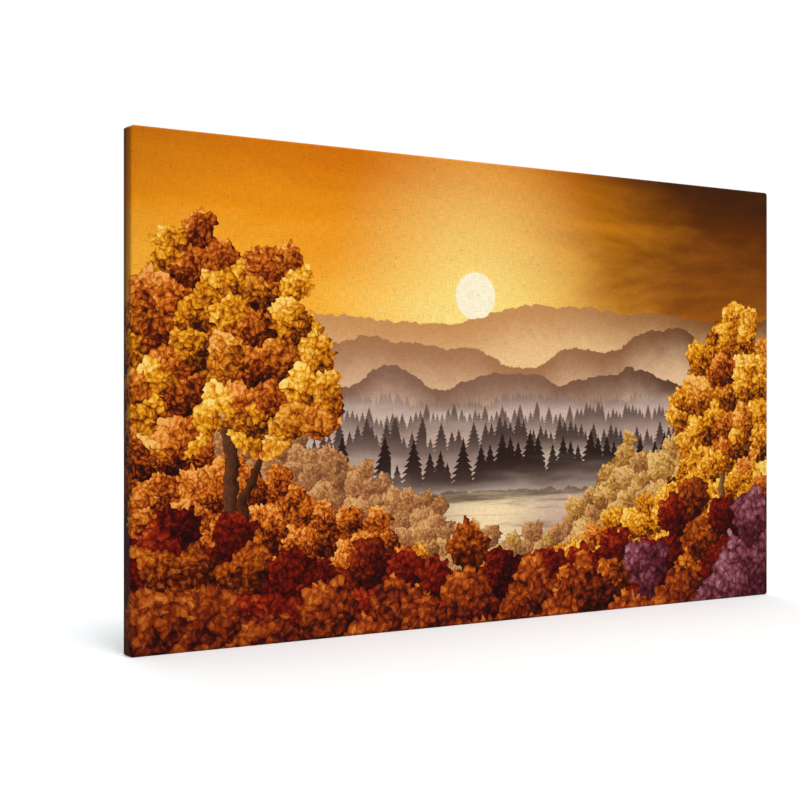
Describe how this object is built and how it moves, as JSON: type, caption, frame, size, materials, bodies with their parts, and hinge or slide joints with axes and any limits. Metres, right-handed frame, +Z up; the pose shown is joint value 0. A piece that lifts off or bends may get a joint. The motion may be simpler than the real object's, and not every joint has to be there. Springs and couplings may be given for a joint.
{
  "type": "stretched canvas print",
  "caption": "Landscape picture printed on canvas, stretched over a braced pine frame and stapled behind, for hanging on a wall.",
  "frame": {"origin": "under the middle of the upright picture: centre of its width and depth, level with its bottom edge", "axes": "+Z up the picture, +X to the right as one faces the print, and the print faces -Y, so +Y points into the wall it hangs on"},
  "size_m": [1, 0.0252, 0.6],
  "materials": {
    "pine": "planed softwood, bare",
    "canvas": "matt print on a fine plain weave, white behind",
    "steel": "drawn wire, dull"
  },
  "bodies": {
    "root": {"canvas_front": "canvas", "canvas_edge_bottom": "canvas", "canvas_edge_left": "canvas", "canvas_edge_right": "canvas", "canvas_edge_top": "canvas", "canvas_fold_bottom_1": "canvas", "canvas_fold_bottom_2": "canvas", "canvas_fold_top_1": "canvas", "canvas_fold_top_2": "canvas", "bar_bottom": "pine", "bar_left": "pine", "bar_right": "pine", "bar_top": "pine", "brace": "pine", "staple_bottom_1": "steel", "staple_bottom_2": "steel", "staple_bottom_3": "steel", "staple_bottom_4": "steel", "staple_bottom_5": "steel", "staple_bottom_6": "steel", "staple_bottom_7": "steel", "staple_bottom_8": "steel", "staple_bottom_9": "steel", "staple_bottom_10": "steel", "staple_bottom_11": "steel", "staple_bottom_12": "steel", "staple_bottom_13": "steel", "staple_bottom_14": "steel", "staple_bottom_15": "steel", "staple_bottom_16": "steel", "staple_left_1": "steel", "staple_left_2": "steel", "staple_left_3": "steel", "staple_left_4": "steel", "staple_left_5": "steel", "staple_left_6": "steel", "staple_right_1": "steel", "staple_right_2": "steel", "staple_right_3": "steel", "staple_right_4": "steel", "staple_right_5": "steel", "staple_right_6": "steel", "staple_top_1": "steel", "staple_top_2": "steel", "staple_top_3": "steel", "staple_top_4": "steel", "staple_top_5": "steel", "staple_top_6": "steel", "staple_top_7": "steel", "staple_top_8": "steel", "staple_top_9": "steel", "staple_top_10": "steel", "staple_top_11": "steel", "staple_top_12": "steel", "staple_top_13": "steel", "staple_top_14": "steel", "staple_top_15": "steel", "staple_top_16": "steel"}
  },
  "joints": []
}
